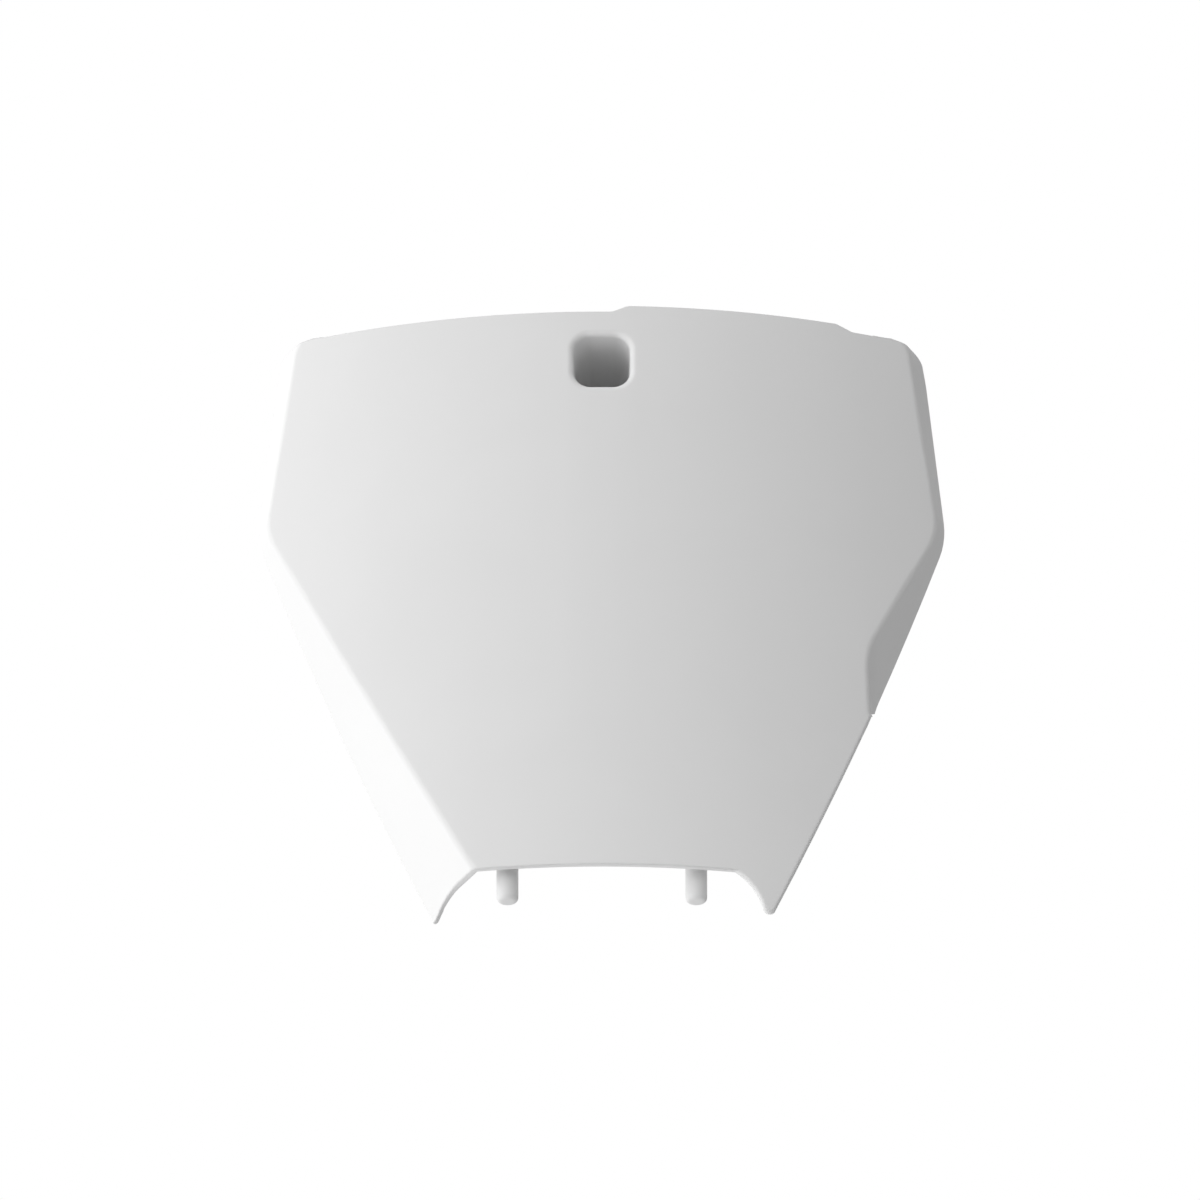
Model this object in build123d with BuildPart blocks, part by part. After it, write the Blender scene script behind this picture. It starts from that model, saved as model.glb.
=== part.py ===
from build123d import *
from math import cos, radians
import os

os.makedirs("parts", exist_ok=True)

# Racing number board in millimetres: X to the viewer's right, -Y to the front, Z up the board.
# The origin is the centre of the screw hole on the seat, the flat rear end of the screw well.

# Face: a sheet bent to a cylinder about an upright axis
wall = 2.5
face_radius = 250.0
depth = 40.0
seat_set_back = 8.0
top_z = 19.8
bottom_z = -204.4

# Side flanges: corners of their rear edge, right half, and their lean towards the front
foot_x = 51.2
foot_z = -231.0
elbow_x = 126.0
elbow_z = -54.5
shoulder_x = 117.0
shoulder_z = 22.5
crown_x = 91.0
crown_z = 52.0
flange_bow = 3.2
flange_lean = 23.5
elbow_radius = 32.0
shoulder_radius = 22.0
fold_radius = 3.0
rim_round = 1.0

# Raised stretch of the top edge
lip_left_x = 3.7
lip_right_x = 91.2
lip_ramp = 5.8
lip_rise = 2.35
lip_radius = 4.0

# Upper corners, where the top edge lifts a little as it runs back along the flanges
corner_start_x = 103.5
corner_start_radius = 30.0
corner_x = 115.0
corner_z = 21.2
corner_radius = 4.0
corner_foot_x = 122.0
corner_foot_z = 12.5

# Hose bulge at the lower right: the face runs out to the outline, and a wall steps back to the flange
notch_top_x = 96.6
notch_top_z = -96.5
notch_foot_x = 98.2
notch_foot_z = -133.0
notch_tip_x = 98.3
notch_tip_z = -134.0
notch_blend = 20.0
notch_rim_z = -124.0
notch_rim_step = 18.0
bulge_tip_x = 59.0
bulge_tip_z = -228.0
bulge_tip_radius = 2.4
bulge_bow = 0.8
bulge_round = 1.0

# Bottom edge
bottom_left_x = -52.0
bottom_right_x = 48.5
left_arc_radius = 10.5
left_tip_x = -60.6
left_tip_z = -210.0
left_tip_radius = 2.0
right_arc_radius = 23.0

# Screw well and its gussets
well_width = 18.0
well_corner = 5.0
well_draft = 1.6
well_floor = 3.0
well_mouth_round = 2.2
screw_hole = 6.6
gusset_thickness = 2.0
gusset_reach = 34.0
gusset_height = 24.0

# Locating pegs, the bosses they hang from and their webs
peg_spacing = 68.8
peg_diameter = 8.0
peg_set_back = 12.0
peg_end_z = -214.0
peg_round = 1.8
boss_diameter = 10.0
boss_top_z = -178.0
boss_foot_z = -198.0
web_thickness = 3.0
web_top_z = -160.0
web_foot_z = -194.0

rim_plane = Plane.XZ.offset(seat_set_back)
front_y = -seat_set_back - depth
axis_y = front_y + face_radius
peg_y = front_y + peg_set_back
margin = 15.0
block = 3 * elbow_x


def flange_plan(inset, rear):
    """Plan of the form between the flanges, drawn in by inset, the given distance behind the rims."""
    with BuildSketch(rim_plane.offset(-rear)) as plan:
        with BuildLine():
            Line((0, foot_z), (foot_x, foot_z))
            SagittaArc((foot_x, foot_z), (elbow_x, elbow_z), -flange_bow)
            Polyline((elbow_x, elbow_z), (shoulder_x, shoulder_z), (crown_x, crown_z), (0, crown_z))
            mirror(about=Plane.YZ)
        make_face()
        fillet(plan.vertices().group_by(Axis.Y)[1], elbow_radius)
        fillet(plan.vertices().group_by(Axis.Y)[-2], shoulder_radius)
        if inset:
            offset(amount=-inset)
    return plan.sketch


def bulge_plan(inset):
    """Plan of the hose bulge, with its notch wall drawn in by inset and open beyond the outline."""
    with BuildSketch(rim_plane) as plan:
        with BuildLine():
            Polyline(
                (notch_top_x - inset, notch_top_z),
                (notch_foot_x - inset, notch_foot_z),
                (notch_foot_x - inset + margin, notch_foot_z - 2 * margin + inset),
                (notch_foot_x + margin, bulge_tip_z - margin),
                (0, bulge_tip_z - margin),
                (0, notch_top_z),
                close=True,
            )
        make_face()
    return plan.sketch


def sides_of(part):
    """Upright side faces of a block that lean in once they are drafted."""
    return part.faces().filter_by(Axis.Y, reverse=True).filter_by(Axis.Z, reverse=True)


def front_of(part):
    """Curved front face of a block."""
    return part.faces().filter_by(GeomType.CYLINDER).sort_by(Axis.Y)[0]


# Solid form of the board, with the folds rounded and trimmed to the outline seen from the front
with BuildPart() as body:
    extrude(flange_plan(0, 0), amount=depth)
    draft(sides_of(body), rim_plane, flange_lean)
    extrude(bulge_plan(0), amount=depth)
    with Locations((0, axis_y, 0)):
        Cylinder(face_radius, 2 * block, mode=Mode.INTERSECT)
    upright = body.faces().filter_by(GeomType.PLANE).filter_by(Axis.Y, reverse=True)
    notch_middle = (notch_foot_x, front_y + depth / 2, (notch_top_z + notch_foot_z) / 2)
    notch_wall = upright.sort_by_distance(notch_middle)[0]
    fillet(notch_wall.edges().filter_by(GeomType.HYPERBOLA), notch_blend)
    fillet(
        front_of(body).edges().filter_by(lambda edge: edge.geom_type not in (GeomType.LINE, GeomType.CIRCLE)),
        fold_radius,
    )
    with BuildSketch(Plane.XZ) as outline:
        with BuildLine():
            Polyline(
                (-block, corner_foot_z),
                (-corner_foot_x, corner_foot_z),
                (-corner_x, corner_z),
                (-corner_start_x, top_z),
                (lip_left_x, top_z),
                (lip_left_x + lip_ramp, top_z + lip_rise),
                (lip_right_x - lip_ramp, top_z + lip_rise),
                (lip_right_x, top_z),
                (corner_start_x, top_z),
                (corner_x, corner_z),
                (corner_foot_x, corner_foot_z),
                (block, corner_foot_z),
                (block, notch_tip_z),
                (notch_tip_x, notch_tip_z),
            )
            SagittaArc((notch_tip_x, notch_tip_z), (bulge_tip_x, bulge_tip_z), bulge_bow)
            RadiusArc((bulge_tip_x, bulge_tip_z), (bottom_right_x, bottom_z), -right_arc_radius)
            Line((bottom_right_x, bottom_z), (bottom_left_x, bottom_z))
            RadiusArc((bottom_left_x, bottom_z), (left_tip_x, left_tip_z), -left_arc_radius)
            Polyline(
                (left_tip_x, left_tip_z),
                (left_tip_x - block, left_tip_z + block / 2),
                (-block, corner_foot_z),
            )
        make_face()
        for corner, radius in (
            ((bulge_tip_x, bulge_tip_z), bulge_tip_radius),
            ((left_tip_x, left_tip_z), left_tip_radius),
            ((lip_left_x, top_z), lip_radius),
            ((lip_left_x + lip_ramp, top_z + lip_rise), lip_radius),
            ((lip_right_x - lip_ramp, top_z + lip_rise), lip_radius),
            ((lip_right_x, top_z), lip_radius),
            ((-corner_start_x, top_z), corner_start_radius),
            ((corner_start_x, top_z), corner_start_radius),
            ((-corner_x, corner_z), corner_radius),
            ((corner_x, corner_z), corner_radius),
        ):
            fillet(outline.vertices().sort_by_distance(corner)[0], radius)
    extrude(amount=block, both=True, mode=Mode.INTERSECT)
    bulge_edges = front_of(body).edges().filter_by_position(Axis.X, bottom_right_x, notch_tip_x)
    fillet(bulge_edges.sort_by(SortBy.LENGTH)[-1], bulge_round)

# Hollow behind the face, a wall's thickness inside the body
with BuildPart() as core:
    extrude(flange_plan(wall / cos(radians(flange_lean)), margin), amount=depth + margin)
    draft(sides_of(core), rim_plane, flange_lean)
    extrude(bulge_plan(wall), amount=depth)
    extrude(bulge_plan(wall), amount=-margin)
    with Locations((0, axis_y, 0)):
        Cylinder(face_radius - wall, 2 * block, mode=Mode.INTERSECT)

# Tube of the screw well with two side gussets and a lower one, and the pegs with bosses and webs
with BuildPart() as carriers:
    with BuildSketch(Plane.XZ):
        RectangleRounded(well_width + 2 * wall, well_width + 2 * wall, well_corner + wall)
    extrude(amount=-front_y)
    draft(carriers.faces().filter_by(Axis.Y, reverse=True), Plane.XZ.offset(well_floor), -well_draft)
    with BuildSketch(Plane.XY):
        with BuildLine():
            Polyline(
                (well_width / 2, front_y + gusset_height),
                (well_width / 2, front_y),
                (well_width / 2 + gusset_reach, front_y),
                close=True,
            )
        make_face()
        mirror(about=Plane.YZ)
    extrude(amount=gusset_thickness / 2, both=True)
    with BuildSketch(Plane.YZ):
        with BuildLine():
            Polyline(
                (front_y + gusset_height, -well_width / 2),
                (front_y, -well_width / 2),
                (front_y, -well_width / 2 - gusset_reach),
                close=True,
            )
        make_face()
    extrude(amount=gusset_thickness / 2, both=True)
    with Locations((peg_spacing / 2, peg_y, boss_foot_z), (-peg_spacing / 2, peg_y, boss_foot_z)):
        Cylinder(peg_diameter / 2, boss_foot_z - peg_end_z, align=(Align.CENTER, Align.CENTER, Align.MAX))
        Cylinder(boss_diameter / 2, boss_top_z - boss_foot_z, align=(Align.CENTER, Align.CENTER, Align.MIN))
    fillet(carriers.edges().group_by(Axis.Z)[0], peg_round)
    with BuildSketch(Plane.YZ.offset(peg_spacing / 2), Plane.YZ.offset(-peg_spacing / 2)):
        with BuildLine():
            Polyline(
                (front_y, web_top_z),
                (peg_y, boss_top_z),
                (peg_y, web_foot_z),
                (front_y, web_foot_z),
                close=True,
            )
        make_face()
    extrude(amount=web_thickness / 2, both=True)
    with Locations((0, axis_y, 0)):
        Cylinder(face_radius - wall / 2, 2 * block, mode=Mode.INTERSECT)

# Finished board: shell, slanting rim behind the notch, rounded rear rim, carriers, well and screw hole
with BuildPart() as number_board:
    add(body)
    add(core, mode=Mode.SUBTRACT)
    with BuildSketch(Plane.YZ.offset(notch_top_x - 2 * wall)):
        with BuildLine():
            Polyline(
                (margin, notch_rim_z),
                (-seat_set_back, notch_rim_z),
                (-seat_set_back - notch_rim_step, notch_tip_z),
                (-seat_set_back - notch_rim_step, bulge_tip_z),
                (margin, bulge_tip_z),
                close=True,
            )
        make_face()
    extrude(amount=block, mode=Mode.SUBTRACT)
    rear_rim = number_board.faces().group_by(Axis.Y)[-1].edges()
    fillet(rear_rim.filter_by(lambda edge: edge.length > margin), rim_round)
    add(carriers)
    with BuildSketch(Plane.XZ.offset(well_floor)):
        RectangleRounded(well_width, well_width, well_corner)
    extrude(amount=-front_y, taper=-well_draft, mode=Mode.SUBTRACT)
    fillet(front_of(number_board).inner_wires()[0].edges(), well_mouth_round)
    with Locations(Plane.XZ.offset(well_floor)):
        Hole(screw_hole / 2, well_floor)

number_board.part.label = "number_board"
export_step(number_board.part, "parts/number_board.step")
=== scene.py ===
from math import cos, radians, sin

import bmesh
import bpy
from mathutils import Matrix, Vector
from mathutils.kdtree import KDTree


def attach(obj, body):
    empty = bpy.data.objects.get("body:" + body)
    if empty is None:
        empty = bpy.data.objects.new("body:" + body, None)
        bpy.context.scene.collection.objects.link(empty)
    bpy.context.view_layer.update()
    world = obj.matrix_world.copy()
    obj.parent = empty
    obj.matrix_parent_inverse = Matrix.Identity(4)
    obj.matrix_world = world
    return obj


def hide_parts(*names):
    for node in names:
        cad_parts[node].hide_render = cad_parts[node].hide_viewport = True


# Lengths are in metres where their names don't say mm.
mm_per_metre = 1000
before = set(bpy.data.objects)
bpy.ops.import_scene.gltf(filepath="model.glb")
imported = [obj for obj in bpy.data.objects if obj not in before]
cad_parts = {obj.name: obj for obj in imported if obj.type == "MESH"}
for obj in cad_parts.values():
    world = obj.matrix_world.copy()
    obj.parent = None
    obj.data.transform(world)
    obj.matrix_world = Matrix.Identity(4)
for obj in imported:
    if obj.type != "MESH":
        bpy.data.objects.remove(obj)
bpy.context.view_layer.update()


def linear(hex_colour):
    """Linear red, green, blue and alpha of an sRGB hex colour."""
    channels = [int(hex_colour[i : i + 2], 16) / 255 for i in (1, 3, 5)]
    return [c / 12.92 if c <= 0.04045 else ((c + 0.055) / 1.055) ** 2.4 for c in channels] + [1.0]


def add_node(tree, kind, inputs=None, **settings):
    """Adds a node with its settings. Inputs are values, or output sockets to link from."""
    node = tree.nodes.new(kind)
    for name, value in settings.items():
        setattr(node, name, value)
    for name, value in (inputs or {}).items():
        if isinstance(value, bpy.types.NodeSocket):
            tree.links.new(value, node.inputs[name])
        else:
            node.inputs[name].default_value = value
    return node


# White polypropylene from a fine spark-eroded tool: an even satin white, with a faint grain that breaks
# up reflections, and slow changes in tone and sheen where the melt flowed. The board is one injection
# moulding, so this one finish covers it all.
tone_low = "#E4E4E4"
tone_high = "#E8E8E8"
grain_mm = 0.9
grain_detail = 2.0
grain_roughness = 0.6
grain_strength = 0.06
grain_depth = 0.0001
flow_mm = 45.0
flow_detail = 3.0
flow_roughness = 0.5
flow_swirl = 0.6
flow_low = 0.3
flow_high = 0.7
sheen_low = 0.5
sheen_high = 0.58
edge_mm = 1.2
edge_samples = 6
plastic_ior = 1.49
plastic_specular = 0.35
polypropylene = bpy.data.materials.new("white_polypropylene_satin")
polypropylene.use_nodes = True
tree = polypropylene.node_tree
tree.nodes.clear()
place = add_node(tree, "ShaderNodeTexCoord").outputs["Object"]
grain = add_node(
    tree,
    "ShaderNodeTexNoise",
    {
        "Vector": place,
        "Scale": mm_per_metre / grain_mm,
        "Detail": grain_detail,
        "Roughness": grain_roughness,
    },
)
flow = add_node(
    tree,
    "ShaderNodeTexNoise",
    {
        "Vector": place,
        "Scale": mm_per_metre / flow_mm,
        "Detail": flow_detail,
        "Roughness": flow_roughness,
        "Distortion": flow_swirl,
    },
)
white = add_node(
    tree,
    "ShaderNodeMix",
    {"Factor": flow.outputs["Fac"], "A": linear(tone_low), "B": linear(tone_high)},
    data_type="RGBA",
)
sheen = add_node(
    tree,
    "ShaderNodeMapRange",
    {
        "Value": flow.outputs["Fac"],
        "From Min": flow_low,
        "From Max": flow_high,
        "To Min": sheen_low,
        "To Max": sheen_high,
    },
)
soft_edges = add_node(tree, "ShaderNodeBevel", {"Radius": edge_mm / mm_per_metre}, samples=edge_samples)
relief = add_node(
    tree,
    "ShaderNodeBump",
    {
        "Height": grain.outputs["Fac"],
        "Strength": grain_strength,
        "Distance": grain_depth,
        "Normal": soft_edges.outputs["Normal"],
    },
)
plastic = add_node(
    tree,
    "ShaderNodeBsdfPrincipled",
    {
        "Base Color": white.outputs["Result"],
        "Roughness": sheen.outputs["Result"],
        "IOR": plastic_ior,
        "Specular IOR Level": plastic_specular,
        "Normal": relief.outputs["Normal"],
    },
)
add_node(tree, "ShaderNodeOutputMaterial", {"Surface": plastic.outputs["BSDF"]})


# Moulded board: a copy of the CAD mesh with the two upper corners cut to a rounder line and the free edges of
# the sheet eased, as they leave the tool. The rear rim, the corners, the notch tip and the ribs aren't eased.
# Face corners take the CAD's normals where those fit. A mesh that doesn't close goes back to a plain copy.
weld = 0.000001
same_place = 0.00001
short_cut = 0.00003
short_edge = 0.0005
corner_x = 0.1131
corner_z = 0.0148
corner_radius = 0.0038
corner_first = radians(80)
corner_last = radians(10)
corner_cuts = 8
ease = 0.0005
ease_steps = 3
ease_profile = 0.5
square_angle = radians(45)
rim_front = -0.012
corner_half = 0.1
corner_low = 0.01
notch_tip = Vector((0.0983, -0.026, -0.134))
tip_clear = 0.012
ribs_half = 0.045
ribs_top = 0.015
ribs_foot = -0.2
smooth_angle = radians(25)
normal_reach = 0.001


def free_edges(mesh):
    """Square outer edges of the sheet, clear of the rear rim, the corners, the notch tip and the ribs."""
    chosen = []
    for edge in mesh.edges:
        middle = (edge.verts[0].co + edge.verts[1].co) / 2
        behind = max(vert.co.y for vert in edge.verts) > rim_front
        at_corner = abs(middle.x) > corner_half and middle.z > corner_low
        at_tip = (middle - notch_tip).length < tip_clear
        at_ribs = abs(middle.x) < ribs_half and ribs_foot < middle.z < ribs_top
        if behind or at_corner or at_tip or at_ribs:
            continue
        if edge.is_convex and edge.calc_face_angle(0) > square_angle:
            chosen.append(edge)
    return chosen


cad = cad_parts["number_board"].data
eased = bmesh.new()
eased.from_mesh(cad)
bmesh.ops.remove_doubles(eased, verts=eased.verts, dist=weld)
for side in (1, -1):
    centre = Vector((side * corner_x, 0, corner_z))
    for cut in range(corner_cuts):
        turn = corner_first + (corner_last - corner_first) * cut / (corner_cuts - 1)
        outward = Vector((side * cos(turn), 0, sin(turn)))
        bmesh.ops.bisect_plane(
            eased,
            geom=eased.verts[:] + eased.edges[:] + eased.faces[:],
            dist=weld,
            plane_co=centre + corner_radius * outward,
            plane_no=outward,
            clear_outer=True,
        )
        bmesh.ops.remove_doubles(eased, verts=eased.verts, dist=short_cut)
        open_edges = [edge for edge in eased.edges if edge.is_boundary]
        bmesh.ops.holes_fill(eased, edges=open_edges)
edge_points = list(dict.fromkeys(vert for edge in free_edges(eased) for vert in edge.verts))
bmesh.ops.remove_doubles(eased, verts=edge_points, dist=short_edge)
bmesh.ops.dissolve_degenerate(eased, dist=same_place, edges=eased.edges)
bmesh.ops.bevel(
    eased,
    geom=free_edges(eased),
    offset=ease,
    offset_type="OFFSET",
    segments=ease_steps,
    profile=ease_profile,
    affect="EDGES",
    clamp_overlap=False,
)
if not all(edge.is_manifold for edge in eased.edges):
    eased.clear()
    eased.from_mesh(cad)
    bmesh.ops.remove_doubles(eased, verts=eased.verts, dist=weld)
bmesh.ops.recalc_face_normals(eased, faces=eased.faces)
for face in eased.faces:
    face.smooth = True
moulding_mesh = bpy.data.meshes.new("moulded_board")
eased.to_mesh(moulding_mesh)
eased.free()

cad_points = KDTree(len(cad.loops))
for corner in cad.loops:
    cad_points.insert(cad.vertices[corner.vertex_index].co, corner.index)
cad_points.balance()
normals = [None] * len(moulding_mesh.loops)
for face in moulding_mesh.polygons:
    for corner in face.loop_indices:
        spot = moulding_mesh.vertices[moulding_mesh.loops[corner].vertex_index].co
        near = cad_points.find_range(spot, same_place) or cad_points.find_range(spot, normal_reach)
        choices = [cad.corner_normals[index].vector for point, index, distance in near]
        best = max(choices, key=face.normal.dot, default=face.normal)
        normals[corner] = Vector(best if best.dot(face.normal) > cos(smooth_angle) else face.normal)
moulding_mesh.normals_split_custom_set(normals)
moulding_mesh.materials.append(polypropylene)
moulding = bpy.data.objects.new("moulded_board", moulding_mesh)
bpy.context.collection.objects.link(moulding)
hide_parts("number_board")
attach(moulding, "root")


# Floor: a plain pale studio sheet well below the board, which hangs from its screw seat.
floor_drop = 0.75
floor_half = 12.0
paper_colour = "#FAFAFA"
paper_roughness = 0.9
floor_mesh = bpy.data.meshes.new("studio_floor")
floor_mesh.from_pydata(
    [
        (-floor_half, -floor_half, -floor_drop),
        (floor_half, -floor_half, -floor_drop),
        (floor_half, floor_half, -floor_drop),
        (-floor_half, floor_half, -floor_drop),
    ],
    [],
    [(0, 1, 2, 3)],
)
floor = bpy.data.objects.new("studio_floor", floor_mesh)
bpy.context.collection.objects.link(floor)
paper = bpy.data.materials.new("white_background_paper")
paper.use_nodes = True
paper_shader = paper.node_tree.nodes["Principled BSDF"]
paper_shader.inputs["Base Color"].default_value = linear(paper_colour)
paper_shader.inputs["Roughness"].default_value = paper_roughness
floor_mesh.materials.append(paper)
floor.visible_diffuse = False


# Light: a studio tent that is brightest on the left and falls off evenly to the right. It is darker at its
# open front, where the camera stands, and on its right side. The camera and reflections see plain white.
full_light = 1.0
middle_light = 1.045
light_slope = (-0.845, -0.18, -0.085)
view_rise = radians(26)
open_front = (0, -cos(view_rise), -sin(view_rise))
front_edge = radians(34)
front_core = radians(20)
front_light = 0.15
side_rise = radians(23)
dim_side = (cos(side_rise), 0, sin(side_rise))
side_edge = radians(60)
side_core = radians(20)
side_light = 0.3
plain_white = linear("#FFFFFF")
world = bpy.data.worlds.new("studio_tent")
bpy.context.scene.world = world
world.use_nodes = True
tree = world.node_tree
tree.nodes.clear()
direction = add_node(tree, "ShaderNodeTexCoord").outputs["Generated"]
slope = add_node(tree, "ShaderNodeVectorMath", {0: direction, 1: light_slope}, operation="DOT_PRODUCT")
level = add_node(tree, "ShaderNodeMath", {0: slope.outputs["Value"], 1: middle_light}, operation="ADD")
for middle, outer, core, light_left in (
    (open_front, front_edge, front_core, front_light),
    (dim_side, side_edge, side_core, side_light),
):
    facing = add_node(tree, "ShaderNodeVectorMath", {0: direction, 1: middle}, operation="DOT_PRODUCT")
    shade = add_node(
        tree,
        "ShaderNodeMapRange",
        {
            "Value": facing.outputs["Value"],
            "From Min": cos(outer),
            "From Max": cos(core),
            "To Min": full_light,
            "To Max": light_left,
        },
        interpolation_type="SMOOTHSTEP",
    )
    level = add_node(
        tree,
        "ShaderNodeMath",
        {0: level.outputs["Value"], 1: shade.outputs["Result"]},
        operation="MULTIPLY",
    )
tent = add_node(tree, "ShaderNodeBackground", {"Color": plain_white, "Strength": level.outputs["Value"]})
backdrop = add_node(tree, "ShaderNodeBackground", {"Color": plain_white, "Strength": full_light})
ray = add_node(tree, "ShaderNodeLightPath")
seen = add_node(
    tree,
    "ShaderNodeMath",
    {0: ray.outputs["Is Camera Ray"], 1: ray.outputs["Is Glossy Ray"]},
    operation="MAXIMUM",
)
seen_through = add_node(
    tree,
    "ShaderNodeMath",
    {0: seen.outputs["Value"], 1: ray.outputs["Is Transmission Ray"]},
    operation="MAXIMUM",
)
surround = add_node(
    tree,
    "ShaderNodeMixShader",
    {0: seen_through.outputs["Value"], 1: tent.outputs["Background"], 2: backdrop.outputs["Background"]},
)
add_node(tree, "ShaderNodeOutputWorld", {"Surface": surround.outputs["Shader"]})


# Camera: a very long lens, so an orthographic one, straight in front of the board and looking up at it.
view_width = 0.43728
view_distance = 0.7
sight_x = -0.00066
sight_up = -0.0875
face_y = -0.048
camera_data = bpy.data.cameras.new("camera")
camera_data.type = "ORTHO"
camera_data.ortho_scale = view_width
camera = bpy.data.objects.new("camera", camera_data)
bpy.context.collection.objects.link(camera)
camera.rotation_euler = (radians(90) + view_rise, 0, 0)
camera.location = (
    sight_x,
    face_y - view_distance * cos(view_rise) - sight_up * sin(view_rise),
    sight_up * cos(view_rise) - view_distance * sin(view_rise),
)
bpy.context.scene.camera = camera
bpy.context.scene.view_settings.view_transform = "Standard"
